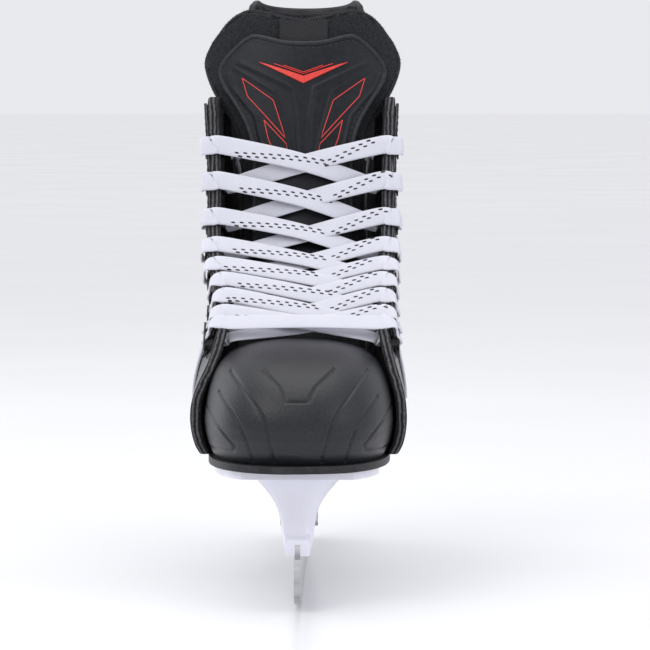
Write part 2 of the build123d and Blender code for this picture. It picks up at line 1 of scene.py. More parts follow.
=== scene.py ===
import bmesh
import bpy
import random
from bisect import bisect
from functools import lru_cache
from math import asin, copysign, cos, hypot, pi, radians, sin, sqrt
import numpy as np
from numpy.linalg import norm
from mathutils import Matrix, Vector


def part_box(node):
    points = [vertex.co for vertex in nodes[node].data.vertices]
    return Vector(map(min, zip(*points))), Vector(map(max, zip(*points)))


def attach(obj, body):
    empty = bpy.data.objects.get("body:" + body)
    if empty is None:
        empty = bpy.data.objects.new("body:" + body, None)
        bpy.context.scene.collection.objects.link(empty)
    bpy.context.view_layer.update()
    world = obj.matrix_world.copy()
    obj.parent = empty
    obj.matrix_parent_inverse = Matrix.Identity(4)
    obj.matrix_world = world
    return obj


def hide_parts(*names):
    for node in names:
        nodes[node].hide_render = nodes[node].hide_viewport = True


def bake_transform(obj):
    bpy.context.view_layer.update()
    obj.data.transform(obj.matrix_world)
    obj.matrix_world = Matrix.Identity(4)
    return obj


# A right-foot ice-hockey skate. Lengths are in millimetres until a mesh is made.
# d is the distance behind the toe tip, side -1 is lateral (-X) and +1 is medial (+X).
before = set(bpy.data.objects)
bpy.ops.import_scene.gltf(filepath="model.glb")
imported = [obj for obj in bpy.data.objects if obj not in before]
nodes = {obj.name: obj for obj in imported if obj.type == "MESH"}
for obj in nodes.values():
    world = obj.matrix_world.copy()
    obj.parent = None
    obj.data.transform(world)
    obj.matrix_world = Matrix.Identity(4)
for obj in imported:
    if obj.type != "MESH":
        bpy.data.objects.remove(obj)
scene = bpy.context.scene
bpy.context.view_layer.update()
random.seed(7)

MM = 0.001
SIDES = ((-1, "lateral"), (1, "medial"))
HALF = 146.0  # half the skate's length
WALL, LINING, OVERLAY, GAP = 5, 3.8, 1.8, 0.2
CAP_WALL = 3.0
STATIONS = (45, 105, 150, 195)
HEEL_RUN = 45.0
# A level's height, its rearmost d, and the half widths at the stations and the heel, side by side.
LEVELS = (
    (60, 283, (40.5, 40.5, 35, 32, 31), (40.5, 40.5, 33.5, 31, 31)),
    (75, 288.5, (49.6, 49.6, 42.5, 38.5, 37), (49.6, 49.2, 40.5, 37, 37)),
    (95, 291.5, (50.8, 51.2, 46, 42.5, 40), (50.8, 50.2, 44.5, 42, 40)),
    (120, 288, (39.5, 46.5, 46.2, 44.8, 41.5), (43.5, 46.5, 45, 45.5, 42)),
    (145, 281.5, (35.5, 38.5, 45.5, 45.5, 41.5), (38.5, 42, 44.6, 47, 43.5)),
    (175, 276, (40, 45.5, 46.4, 45.5, 39.5), (42, 44.5, 44.3, 46, 41)),
    (205, 276.5, (41, 46, 46.9, 46, 40), (42, 44.8, 45, 45.2, 40)),
    (245, 281, (45, 49, 50, 48, 41), (44, 47, 47.5, 46.5, 41)),
    (270, 285.5, (45, 49, 50, 48, 38), (44, 47, 47.5, 46.5, 38)),
    (292, 290, (45, 49, 50, 48, 34), (44, 47, 47.5, 46.5, 34)),
)
FACING_START = (70.2, 129)
FACING = ((74, 130), (87, 134), (103, 141), (119, 148), (135, 155),
          (150, 164), (161, 178), (167.5, 196), (173, 214))
FACING_TOP = (178, 236)
FACING_LINE = (FACING_START,) + FACING + (FACING_TOP,)
COLLAR = ((186, 239), (205, 234), (228, 226), (246, 222))
QUARTER_FRONT = ((57, 69.5), (53, 78), (54, 90), (58, 105), (64, 118), (70.2, 129))
GUARD_BASE, GUARD_TOP = 222, 290.5
QUARTER_BASE, LINING_BASE, LINING_TOP = 77.5, 83, 219.5  # heights at the heel
GUARD_HINGE, GUARD_BEND = 279.5, 28  # d of the guard's hinge, and the height over which it bends
BACK_SEAM = 0.3  # the halves' ends stay this far from the heel's middle line
EYESTAY_EDGES, EYESTAY_SEAMS = (0.6, 17), (2.6, 15.2)  # steps inwards from the facing edge
PANEL_EDGE = 17.6  # the side panels' upper edge, the same way
CUSHION_RADIUS = 18.5
TONGUE = ((62, 107.5), (85, 118), (104, 127.5), (121, 136), (138, 145), (154, 156),
          (166, 173), (172.5, 193), (176.5, 210), (179.5, 226), (182.5, 240),
          (186, 256), (190, 270), (194.5, 286))
TONGUE_SPLIT, TONGUE_BEND = 226, 9  # the bend's height, and how far it spreads each way
ARCH = 9.0
LACE_WIDTH, LACE_THICK = 9.5, 1.2
EYELET_IN = 9.0
LACE_LIFT = (-2.6, -2.6, -2.6, -2.6, -2.6, -0.8, 0.7, 2)
LACE_TILT = (22, 22, 22, 20, 15, 8, 2, 0, 0)  # degrees that it stands up from the facing
SPAN = 8  # finer points between two points of the lace's route
TUCK_IN = 12.3


# ---- curves and the boot's form

def at(d):
    """The frame's y, in millimetres, at a distance behind the toe tip."""
    return d - HALF


def smooth_line(points, per_span):
    """Points along a smooth curve through the given ones."""
    p = np.array(points, float)
    p = np.vstack([2 * p[0] - p[1], p, 2 * p[-1] - p[-2]])
    out = []
    for i in range(1, len(p) - 2):
        a, b, c, d = p[i - 1:i + 3]
        for t in np.arange(per_span) / per_span:
            out.append(0.5 * (2 * b + (c - a) * t + (2 * a - 5 * b + 4 * c - d) * t * t
                              + (3 * b - a - 3 * c + d) * t ** 3))
    out.append(p[-2])
    return np.array(out)


def distances(points):
    """The way along a polyline to each of its points."""
    return np.concatenate([[0], np.cumsum(norm(np.diff(points, axis=0), axis=1))])


def unit(v):
    """The vector at length one."""
    return v / max(norm(v), 1e-9)


def along_at(place, way, points):
    """The point at a distance along a polyline."""
    return np.array([np.interp(place, way, p) for p in points.T])


def evenly(points, count):
    """The polyline's points, spaced evenly along it."""
    p = np.array(points, float)
    way = distances(p)
    marks = np.linspace(0, way[-1], count)
    return along_at(marks, way, p).T


def through(xs, ys, flat_ends=False):
    """A smooth function through the values ys at xs."""
    last = len(xs) - 1
    slopes = []
    for i in range(last + 1):
        low, high = max(i - 1, 0), min(i + 1, last)
        slopes.append((ys[high] - ys[low]) / (xs[high] - xs[low]))
    if flat_ends:
        slopes[0], slopes[last] = 0, 0

    def value(x):
        i = min(max(bisect(xs, x) - 1, 0), last - 1)
        h = xs[i + 1] - xs[i]
        t = (x - xs[i]) / h
        return ((2 * t ** 3 - 3 * t * t + 1) * ys[i] + (t ** 3 - 2 * t * t + t) * h * slopes[i]
                + (3 * t * t - 2 * t ** 3) * ys[i + 1] + (t ** 3 - t * t) * h * slopes[i + 1])
    return value


level_curve = through([row[0] for row in LEVELS],
                      [np.array((row[1], *row[2], *row[3])) for row in LEVELS])


@lru_cache(maxsize=None)
def level_at(z):
    """The rearmost d and the ten half widths at a height."""
    return [float(value) for value in level_curve(min(max(z, LEVELS[0][0]), LEVELS[-1][0]))]


# The wall's own coordinate runs round the heel: 0 at its middle, negative on the lateral side.
HEEL_Q, HEEL_ARC, Q_END = 236, 70, 306


def unroll(side, d, z):
    """The wall coordinate and the height of a side-view point."""
    start = level_at(round(float(z), 2))[0] - HEEL_RUN
    if d <= STATIONS[3]:
        q = d
    elif d <= start:
        q = STATIONS[3] + (d - STATIONS[3]) * (HEEL_Q - STATIONS[3]) / (start - STATIONS[3])
    else:
        q = HEEL_Q + HEEL_ARC * asin(min(1, (d - start) / HEEL_RUN)) / (pi / 2)
    return (side * (Q_END - q), z)


def wall(u, z, inset=0):
    """A point of the boot's form moved inwards by inset."""
    side = -1 if u < 0 else 1
    row = level_at(round(float(z), 2))
    widths = row[1:6] if side < 0 else row[6:11]
    start = row[0] - HEEL_RUN
    q = Q_END - abs(u)
    if q <= HEEL_Q:
        d = q
        if q > STATIONS[3]:
            d = STATIONS[3] + (q - STATIONS[3]) * (start - STATIONS[3]) / (HEEL_Q - STATIONS[3])
        w = through(STATIONS + (start,), widths, flat_ends=True)(d)
        return np.array((side * (w - inset), at(d), z))
    turn = (q - HEEL_Q) / HEEL_ARC * pi / 2
    across, back = (widths[4] - inset) * cos(turn), start + (HEEL_RUN - inset) * sin(turn)
    return np.array((side * across, at(back), z))


def wall_at(depth):
    """A place function whose surface lies depth inside the boot's form."""
    return lambda u, z, inward: wall(u, z, depth + inward)


def facing_inset(step):
    """The facing edge moved into the wall by step."""
    moved = []
    for i, (d, z) in enumerate(FACING_LINE):
        a, b = FACING_LINE[max(i - 1, 0)], FACING_LINE[min(i + 1, len(FACING_LINE) - 1)]
        run, rise = b[0] - a[0], b[1] - a[1]
        size = hypot(run, rise)
        moved.append((d + step * rise / size, z - step * run / size))
    return moved


def facing_normal(k):
    """The facing's outward normal at eyelet k, in (d, z)."""
    a, b = FACING_LINE[k], FACING_LINE[k + 2]
    run, rise = b[0] - a[0], b[1] - a[1]
    size = hypot(run, rise)
    return -rise / size, run / size


tongue_curve = through([z for d, z in TONGUE], [d for d, z in TONGUE])


def tongue_line(z):
    """The tongue line's d at a height, and its forward normal in (d, z)."""
    d = tongue_curve(z)
    slope = tongue_curve(z + 0.5) - tongue_curve(z - 0.5)
    size = sqrt(1 + slope * slope)
    return d, (-1 / size, slope / size)


def tongue_at(front):
    """A place function whose surface lies front ahead of the tongue's line."""
    def place(x, z, inward):
        d, (nd, nz) = tongue_line(z)
        move = front - ARCH * (x / 40) ** 2 - inward
        return np.array((x, at(d + nd * move), z + nz * move))
    return place


# ---- meshes

def placed(name, data):
    """A new object in the scene."""
    made = bpy.data.objects.new(name, data)
    scene.collection.objects.link(made)
    return made


def make(name, verts, faces, materials, uvs=None, kinds=None):
    """A mesh piece. uvs gives a point's (u, v), and kinds a face's material."""
    mesh = bpy.data.meshes.new(name)
    mesh.from_pydata([tuple(c * MM for c in v) for v in verts], [], faces)
    for m in materials:
        mesh.materials.append(m)
    if kinds is not None:
        mesh.polygons.foreach_set("material_index", kinds)
    mesh.polygons.foreach_set("use_smooth", [True] * len(mesh.polygons))
    if uvs is not None:
        layer = mesh.uv_layers.new(name="map")
        flat = [c for loop in mesh.loops for c in uvs[loop.vertex_index]]
        layer.data.foreach_set("uv", flat)
    mesh.validate()
    return placed(name, mesh)


def grid_faces(columns, rows, first=0, flip=False):
    """Quads over a grid of vertices that starts at vertex first."""
    faces = []
    for i in range(columns - 1):
        for j in range(rows - 1):
            a = first + i * rows + j
            quad = (a, a + rows, a + rows + 1, a + 1)
            faces.append(quad[::-1] if flip else quad)
    return faces


def tube_faces(first, rings, points):
    """Faces of a capped tube whose rings of points start at vertex first."""
    faces = []
    for r in range(rings - 1):
        low, high = first + r * points, first + (r + 1) * points
        for p in range(points):
            q = (p + 1) % points
            faces.append((low + p, low + q, high + q, high + p))
    faces.append(tuple(range(first, first + points)))
    faces.append(tuple(reversed(range(first + (rings - 1) * points, first + rings * points))))
    return faces


def coons(bottom, top, left, right, columns, rows):
    """A grid [column][row] of 2-D points between four edges."""
    b, t = evenly(bottom, columns), evenly(top, columns)
    l, r = evenly(left, rows), evenly(right, rows)
    grid = np.zeros((columns, rows, 2))
    for i in range(columns):
        s = i / (columns - 1)
        for j in range(rows):
            v = j / (rows - 1)
            flat = ((1 - s) * (1 - v) * b[0] + s * (1 - v) * b[-1]
                    + (1 - s) * v * t[0] + s * v * t[-1])
            grid[i, j] = (1 - v) * b[i] + v * t[i] + (1 - s) * l[j] + s * r[j] - flat
    return grid


def between(bottom, top, columns, rows):
    """The grid between two lines, with straight ends."""
    return coons(bottom, top, [bottom[0], top[0]], [bottom[-1], top[-1]], columns, rows)


def shell(name, grid, place, thick, rounding, materials, crown=0, relief=None):
    """A sheet of some thickness with rounded edges. materials are the outer face's, the rim's and
    the inner face's, crown swells the outer face, and relief(u, v) raises or sinks it."""
    columns, rows = grid.shape[:2]
    ring = [(i, 0) for i in range(columns)] + [(columns - 1, j) for j in range(1, rows)]
    ring += [(i, rows - 1) for i in range(columns - 2, -1, -1)]
    ring += [(0, j) for j in range(rows - 2, 0, -1)]
    outward = {}
    for i, j in ring:
        inner = grid[min(max(i, 1), columns - 2), min(max(j, 1), rows - 2)]
        outward[i, j] = unit(grid[i, j] - inner)
    face = grid.copy()
    for key, way in outward.items():
        face[key] = face[key] - way * rounding
    verts, uvs = [], []
    for depth in (0, thick):
        for i in range(columns):
            for j in range(rows):
                u, v = face[i, j]
                lift = 0.0
                if depth == 0.0:
                    s, t = 2 * i / (columns - 1) - 1, 2 * j / (rows - 1) - 1
                    lift = crown * (1 - s ** 4) * (1 - t ** 4)
                    lift += relief(u, v) if relief and (i, j) not in outward else 0.0
                verts.append(place(u, v, depth - lift))
                uvs.append((u, v))
    count = columns * rows
    faces = grid_faces(columns, rows) + grid_faces(columns, rows, count, True)
    kinds = [0] * (len(faces) // 2) + [2] * (len(faces) // 2)
    steps = [(rounding * (sin(a) - 1), rounding * (1 - cos(a))) for a in map(radians, (30, 60, 90))]
    steps += [(out, thick - depth) for out, depth in reversed(steps)]
    lengths, way_round = [], 0.0
    for (i, j), (i2, j2) in zip(ring, ring[1:] + ring[:1]):
        lengths.append(way_round)
        way_round += float(norm(grid[i2, j2] - grid[i, j]))
    loops = [[i * rows + j for i, j in ring]]
    for out, depth in steps:
        loops.append(range(len(verts), len(verts) + len(ring)))
        for (i, j), length in zip(ring, lengths):
            u, v = grid[i, j] + outward[i, j] * out
            verts.append(place(u, v, depth))
            uvs.append((length, depth))
    loops.append([count + i * rows + j for i, j in ring])
    for near, far in zip(loops, loops[1:]):
        for n in range(len(ring)):
            m = (n + 1) % len(ring)
            faces.append((near[m], near[n], far[n], far[m]))
            kinds.append(1)
    piece = make(name, verts, faces, materials, uvs, kinds)
    outside(piece)
    return piece


def outside(piece, merge=False):
    """Turns every face outwards, with doubled points merged first where asked."""
    work = bmesh.new()
    work.from_mesh(piece.data)
    if merge:
        bmesh.ops.remove_doubles(work, verts=work.verts, dist=0.00003)
        bmesh.ops.dissolve_degenerate(work, edges=work.edges, dist=0.00001)
    bmesh.ops.recalc_face_normals(work, faces=work.faces)
    work.to_mesh(piece.data)
    work.free()


def sweep(name, centres, ways, widths, thicks, material, points=14):
    """A flat ribbon. ways are its thickness directions."""
    c = np.array(centres, float)
    along = np.gradient(c, axis=0)
    along /= norm(along, axis=1)[:, None]
    w = np.array(ways, float)
    w -= along * (w * along).sum(1)[:, None]
    w /= norm(w, axis=1)[:, None]
    across = np.cross(along, w)
    way = distances(c)
    verts, uvs = [], []
    for n in range(len(c)):
        for p in range(points):
            a = 2 * pi * p / points
            x = copysign(abs(cos(a)) ** 0.45, cos(a)) * widths[n] / 2
            y = copysign(abs(sin(a)) ** 0.75, sin(a)) * thicks[n] / 2
            verts.append(c[n] + across[n] * x + w[n] * y)
            uvs.append((way[n], x))
    piece = make(name, verts, tube_faces(0, len(c), points), [material], uvs)
    outside(piece)
    return piece, (c, along, w, across, way)


# A stitch's rings: how far along it, how thick, and how high, in its radii.
STITCH_RINGS = ((0, 0.45, -0.6), (0.25, 0.95, 0), (0.5, 1, 0.15), (0.75, 0.95, 0),
                (1, 0.45, -0.6))


def stitches(name, path, place, pitch, length, radius, material, sink=0.25):
    """A row of sewn stitches along a path of (u, v) points on a surface."""
    line = evenly(path, 400)
    spots = np.array([place(u, v, 0) for u, v in line])
    above = np.array([place(u, v, -1) for u, v in line])
    way = distances(spots)
    verts, faces = [], []
    for middle in np.arange(pitch / 2, way[-1], pitch):
        a, b = (along_at(middle + s, way, spots) for s in (-length / 2, length / 2))
        up = along_at(middle, way, above - spots)
        up /= norm(up)
        across = np.cross(unit(b - a), up)
        base = len(verts)
        for t, size, lift in STITCH_RINGS:
            centre = a + (b - a) * t + up * radius * (lift - sink)
            for p in range(6):
                turn = 2 * pi * p / 6
                verts.append(centre + radius * size * (across * cos(turn) + up * sin(turn)))
        faces += tube_faces(base, len(STITCH_RINGS), 6)
    piece = make(name, verts, faces, [material])
    outside(piece)
    return piece


def bead(name, path, place, width, height, material, closed=False):
    """A thin raised line along a path of (u, v) points on a surface."""
    line = list(path) + ([path[0]] if closed else [])
    line = evenly(line, 12 * len(line))
    centres = [place(u, v, 0) for u, v in line]
    ways = [place(u, v, -1) - place(u, v, 0) for u, v in line]
    count = len(line)
    return sweep(name, centres, ways, [width] * count, [height] * count, material, 8)[0]


def enter(piece, slot, *replaced, pad=0, body="boot"):
    """Hides the nodes a piece replaces and attaches the piece to its body, or for the bend body passes
    it to across_bend. slot is not used, and pad is not used.
    """
    if replaced:
        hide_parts(*replaced)
    if body == "bend":
        across_bend(piece)
    else:
        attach(piece, body)


# ---- materials

def node(tree, kind, sockets=None, **settings):
    """A shader node. sockets maps its inputs to values or to other nodes' outputs."""
    made = tree.nodes.new(kind)
    for key, value in settings.items():
        setattr(made, key, value)
    for key, value in (sockets or {}).items():
        if isinstance(value, bpy.types.NodeSocket):
            tree.links.new(value, made.inputs[key])
        else:
            made.inputs[key].default_value = value
    return made


def coordinates(tree, scale=(1, 1, 1), kind="Object", turn=0):
    """Mapped coordinates, turned by degrees about Z."""
    source = node(tree, "ShaderNodeTexCoord")
    mapping = node(tree, "ShaderNodeMapping", {"Vector": source.outputs[kind], "Scale": scale})
    mapping.inputs["Rotation"].default_value = (0, 0, radians(turn))
    return mapping.outputs["Vector"]


def texture(kind, output, sockets, *mapping, **settings):
    """A pattern to be built in any tree. mapping is what coordinates takes."""
    def build(tree):
        vector = coordinates(tree, *mapping)
        return node(tree, kind, {"Vector": vector, **sockets}, **settings).outputs[output]
    return build


def noise(scale, detail=3, stretch=(1, 1, 1), rough=0.55):
    """Cloudy noise in the object's space."""
    return texture("ShaderNodeTexNoise", "Fac",
                   {"Scale": scale, "Detail": detail, "Roughness": rough}, stretch)


def cells(scale):
    """Small rounded cells, for moulded and leathery grain."""
    return texture("ShaderNodeTexVoronoi", "Distance", {"Scale": scale}, feature="SMOOTH_F1")


def waves(pitch, turn=0, kind="UV", wobble=0):
    """Stripes of the given pitch, in the map's millimetres or in metres for Object."""
    return texture("ShaderNodeTexWave", "Fac",
                   {"Scale": pi / 10 / pitch, "Distortion": wobble, "Detail": 2.0},
                   (1, 1, 1), kind, turn)


def mixed(first, second, share):
    """Two patterns blended, with share of the second."""
    def build(tree):
        return node(tree, "ShaderNodeMix", {0: share, 2: first(tree), 3: second(tree)}).outputs[0]
    return build


def weave(pitch, turn=0):
    """Over and under threads, as the larger of two crossed stripes."""
    def build(tree):
        warp, weft = waves(pitch, turn)(tree), waves(pitch, turn + 90)(tree)
        return node(tree, "ShaderNodeMath", {0: warp, 1: weft}, operation="MULTIPLY").outputs[0]
    return build


def finish(name, dark, light, tint, height, rough, bump=0.4, depth=0.0003, spread=0.1,
           contrast=(0.3, 0.7), metallic=0, shine=0.5, **fixed):
    """A procedural material: colour from tint, relief from height, and roughness that varies by
    spread. depth is the relief's, in metres."""
    made = bpy.data.materials.new(name)
    made.use_nodes = True
    tree = made.node_tree
    shader = tree.nodes["Principled BSDF"]
    shade = tint(tree)
    ramp = node(tree, "ShaderNodeValToRGB", {"Fac": shade})
    for element, place, colour in zip(ramp.color_ramp.elements, contrast, (dark, light)):
        element.position = place
        element.color = (*colour, 1)
    tree.links.new(ramp.outputs["Color"], shader.inputs["Base Color"])
    gloss = node(tree, "ShaderNodeMapRange",
                 {"Value": shade, "To Min": rough - spread, "To Max": rough + spread})
    tree.links.new(gloss.outputs["Result"], shader.inputs["Roughness"])
    if bump:
        relief = node(tree, "ShaderNodeBump",
                      {"Height": height(tree), "Strength": bump, "Distance": depth})
        tree.links.new(relief.outputs["Normal"], shader.inputs["Normal"])
    shader.inputs["Metallic"].default_value = metallic
    shader.inputs["Specular IOR Level"].default_value = shine
    for key, value in fixed.items():
        shader.inputs[key.replace("_", " ")].default_value = value
    return made


def make_materials():
    """Every finish, by name. Colours are the darkest and the lightest of each material."""
    m = {}

    def add(name, *settings, **fixed):
        m[name] = finish(name, *settings, **fixed)

    add("steel", (0.34, 0.345, 0.36), (0.6, 0.605, 0.62), noise(30, 4, (1, 0.15, 6)),
        noise(60, 3, (1, 0.1, 20)), 0.22, 0.15, 0.0001, 0.08, metallic=1)
    add("nylon", (0.7, 0.7, 0.78), (0.78, 0.78, 0.86), noise(25, 3), noise(900, 2), 0.24, 0.05, 0.0001,
        0.06, Coat_Weight=0.3, Coat_Roughness=0.12, Subsurface_Weight=0.06)
    add("zinc", (0.38, 0.38, 0.39), (0.6, 0.6, 0.6), noise(300, 3), noise(900, 2), 0.34, 0.15, 0.0001,
        metallic=1)
    add("sole", (0.012, 0.012, 0.014), (0.03, 0.03, 0.034), noise(200, 4), cells(1400), 0.5, 0.3,
        0.0002, shine=0.3)
    add("cap", (0.008, 0.0085, 0.0105), (0.018, 0.019, 0.023), noise(1300, 6), cells(1300), 0.4, 0.5,
        0.00025, 0.04, (0.35, 0.65), shine=0.36)
    add("laminate", (0.008, 0.008, 0.01), (0.034, 0.034, 0.04), weave(1.6, 45), weave(1.6, 45), 0.36,
        0.35, 0.0003, 0.08, (0.1, 0.8), Coat_Weight=0.12, shine=0.3)
    add("layers", (0.006, 0.006, 0.008), (0.11, 0.11, 0.118),
        mixed(waves(2.1, 90, "UV", 2.5), noise(650, 6, rough=0.7), 0.62), noise(700, 5), 0.75, 0.8,
        0.0006, 0.1, (0.42, 0.72), shine=0.25)
    add("eyestay", (0.012, 0.012, 0.015), (0.036, 0.036, 0.042), noise(500, 4), cells(1100), 0.52, 0.5,
        0.0003, shine=0.3)
    add("lacquer", (0.012, 0.012, 0.014), (0.05, 0.05, 0.05), noise(350, 4), noise(800, 2), 0.3, 0.2,
        0.0001, metallic=0.6)
    add("silver", (0.52, 0.52, 0.58), (0.6, 0.6, 0.66), noise(1100, 5), cells(1300), 0.36, 0.3, 0.0002,
        0.06, Coat_Weight=0.2)
    add("board", (0.16, 0.12, 0.08), (0.34, 0.27, 0.19), noise(400, 6), noise(700, 4), 0.85, 0.6)
    add("foam", (0.02, 0.02, 0.024), (0.07, 0.07, 0.08), noise(900, 6), noise(1600, 5), 0.9, 0.8,
        0.0005, Sheen_Weight=0.3, Sheen_Roughness=0.5)
    add("felt", (0.006, 0.0065, 0.0075), (0.05, 0.053, 0.058), noise(1300, 8, rough=0.75),
        noise(1500, 8, rough=0.8), 0.95, 1, 0.0008, 0.05, (0.36, 0.72), Sheen_Weight=0.06,
        Sheen_Roughness=0.45, shine=0.12)
    add("fibre", (0.03, 0.03, 0.034), (0.16, 0.16, 0.175), noise(900, 4), noise(900, 2), 0.9, 0)
    add("lining", (0.006, 0.006, 0.008), (0.026, 0.026, 0.03), noise(1200, 7), cells(1500), 0.92, 0.7,
        0.0005, 0.05, Sheen_Weight=0.05, Sheen_Roughness=0.4, shine=0.15)
    add("shield", (0.005, 0.0055, 0.008), (0.011, 0.012, 0.017), noise(300, 5), cells(1700), 0.42, 0.3,
        0.0002, 0.06, shine=0.24)
    add("rim", (0.01, 0.011, 0.014), (0.024, 0.025, 0.031), noise(400, 5), noise(900, 4), 0.5, 0.4,
        shine=0.3)
    add("red", (0.6, 0.03, 0.022), (0.72, 0.05, 0.036), noise(500, 3), noise(900, 3), 0.42, 0.15,
        0.0001, 0.05)
    add("twill", (0.005, 0.005, 0.006), (0.075, 0.075, 0.082), waves(0.75, 58, "UV", 0.3),
        waves(0.75, 58), 0.8, 0.9, 0.0004, 0.05, (0.35, 0.85), shine=0.15)
    add("thread", (0.008, 0.008, 0.01), (0.03, 0.03, 0.034), noise(1500, 3), noise(2500, 3), 0.7)
    add("grey_thread", (0.12, 0.12, 0.13), (0.22, 0.22, 0.24), noise(1500, 3), noise(2500, 3), 0.7)
    add("lace", (0.66, 0.65, 0.74), (0.84, 0.835, 0.89), weave(0.62, 32), weave(0.62, 32), 0.82, 0.75,
        0.00035, 0.06, (0, 0.5), Sheen_Weight=0.2, Subsurface_Weight=0.05)
    add("aglet", (0.6, 0.6, 0.66), (0.8, 0.8, 0.86), noise(300, 3), noise(900, 2), 0.22, 0.1)
    add("guard", (0.01, 0.01, 0.013), (0.026, 0.026, 0.03), noise(250, 5), cells(1300), 0.45, 0.4,
        0.0002, 0.06, shine=0.3)
    add("floor", (0.86, 0.86, 0.88), (0.9, 0.9, 0.92), noise(3, 2), noise(40, 2), 0.2, 0, spread=0.02)
    return m


# ---- the boot's walls

def outline(side, points, per_span=8):
    """Side-view (d, z) points as a smooth line of wall coordinates."""
    return [unroll(side, d, z) for d, z in smooth_line(points, per_span)]


def quarters(m):
    """The stiff side walls, with the stitches along the collar."""
    for side, name in SIDES:
        low = [(57, 69.5), (85, 69.5), (115, 69.5), (152, 73.5), (190, 77.5), (238, 77.5)]
        bottom = outline(side, low) + [(side * BACK_SEAM, QUARTER_BASE)]
        top = outline(side, FACING_LINE, 6)[:-1] + outline(side, (FACING_TOP,) + COLLAR, 6)
        top += [(side * BACK_SEAM, GUARD_BASE - 0.3)]
        left, right = outline(side, QUARTER_FRONT), [bottom[-1], top[-1]]
        grid = coons(bottom, top, left, right, 110, 36)
        piece = shell(f"boot_quarter_{name}", grid, wall_at(0), WALL, 1.1,
                      [m["laminate"], m["layers"], m["lining"]])
        enter(piece, "quarter_laminate", f"quarter_{name}")
        edge = [(u, z - 5) for u, z in outline(side, ((184, 238.5),) + COLLAR[1:])]
        row = stitches(f"collar_stitches_{name}", edge, wall_at(0), 4, 2.8, 0.42, m["grey_thread"])
        enter(row, "lining")


def eyestays(m):
    """The bands along the facings, each with two rows of stitches."""
    for side, name in SIDES:
        top, bottom = (outline(side, facing_inset(step)[1:]) for step in EYESTAY_EDGES)
        grid = between(bottom, top, 90, 12)
        piece = shell(f"eyestay_band_{name}", grid, wall_at(-OVERLAY), OVERLAY - GAP, 0.7,
                      [m["eyestay"], m["layers"], m["eyestay"]])
        enter(piece, "eyestay_laminate", f"eyestay_{name}")
        for n, step in enumerate(EYESTAY_SEAMS):
            line = outline(side, facing_inset(step)[1:])
            row = stitches(f"eyestay_stitches_{name}_{n}", line[2:-2], wall_at(-OVERLAY),
                           3.4, 2.4, 0.38, m["grey_thread"])
            enter(row, "lining")


def side_panels(m):
    """The pale overlays below the eyestays, stitched along their lower and rear edges."""
    upper = facing_inset(PANEL_EDGE)[2:9]
    for side, name in SIDES:
        top = outline(side, upper)
        right = outline(side, [(206, 104), (214, 118), (199, 150), (194, 184),
                               upper[-1]], 6)
        bottom = outline(side, [(104, 92), (150, 98), (206, 104)])
        grid = coons(bottom, top, [bottom[0], top[0]], right, 60, 30)
        piece = shell(f"side_panel_skin_{name}", grid, wall_at(-OVERLAY), OVERLAY - GAP, 0.7,
                      [m["silver"]] * 3)
        enter(piece, "silver_panel", f"side_panel_{name}")
        inner = grid[2:-2, 1:-1]
        line = [*inner[:, 0], *inner[-1, 1:]]
        row = stitches(f"panel_stitches_{name}", line, wall_at(-OVERLAY), 3.6, 2.5, 0.38,
                       m["grey_thread"])
        enter(row, "lining")


def heel_counter(m):
    """The moulded cup round the heel, with a rib on each side."""
    half = ((226, 79), (228, 92), (248, 116), (268, 130))
    top = outline(-1, half[1:]) + [(0, 132.5)] + outline(1, half[1:])[::-1]
    bottom = [unroll(-1, *half[0]), (0, 79), unroll(1, *half[0])]
    grid = between(bottom, top, 70, 16)

    def rib(u, z):
        """A low slanted ridge, 1.6 to each side of its line."""
        return 0.5 * max(0, 1 - abs(abs(u) - 34 - (z - 79) * 0.25) / 1.6)

    piece = shell("heel_counter_cup", grid, wall_at(-OVERLAY), OVERLAY - GAP, 0.7,
                  [m["cap"]] * 3, relief=rib)
    enter(piece, "cap_plastic", "heel_counter")


def arc(middle, radius, start, stop):
    """Points on a circle from one angle to another, in degrees."""
    turns = [radians(start + (stop - start) * n / 12) for n in range(13)]
    return [(middle[0] + radius * cos(a), middle[1] + radius * sin(a)) for a in turns]


def linings(m):
    """The padded linings, each with a round cushion over the ankle."""
    profile = ((92, 98), (110, 110), (142, 122), (170, 140), (188, 166),
               (196, 198), (200, 230), (206, 231.5), (228, 223.5), (246, 219.5))
    low = ((96, 75), (115, 76), (150, 79), (190, 83), (238, 83))
    for side, name in SIDES:
        top = outline(side, profile) + [(side * BACK_SEAM, LINING_TOP)]
        bottom = outline(side, low) + [(side * BACK_SEAM, LINING_BASE)]
        grid = between(bottom, top, 80, 26)
        piece = shell(f"soft_lining_{name}", grid, wall_at(WALL + GAP), LINING, 1.5,
                      [m["lining"]] * 3)
        enter(piece, "lining", f"lining_{name}", pad=0.8)
        middle = (unroll(side, 228, 150)[0], 152 if side > 0 else 147)
        edges = [arc(middle, CUSHION_RADIUS, *turn)
                 for turn in ((225, 315), (135, 45), (225, 135), (315, 405))]
        grid = coons(*edges, 17, 17)
        pad = shell(f"ankle_cushion_{name}", grid, wall_at(WALL + GAP + 0.2), 1.8, 0.8,
                    [m["foam"]] * 3)
        enter(pad, "foam", f"ankle_pad_{name}", pad=0.7)


def guard_edge(z, grow):
    """The tendon guard's front edge: d at a height."""
    heights, places = (222, 244, 266, 287.5, 290.5), (247, 253.5, 259.5, 265, 271)
    return float(np.interp(z, heights, places)) - grow


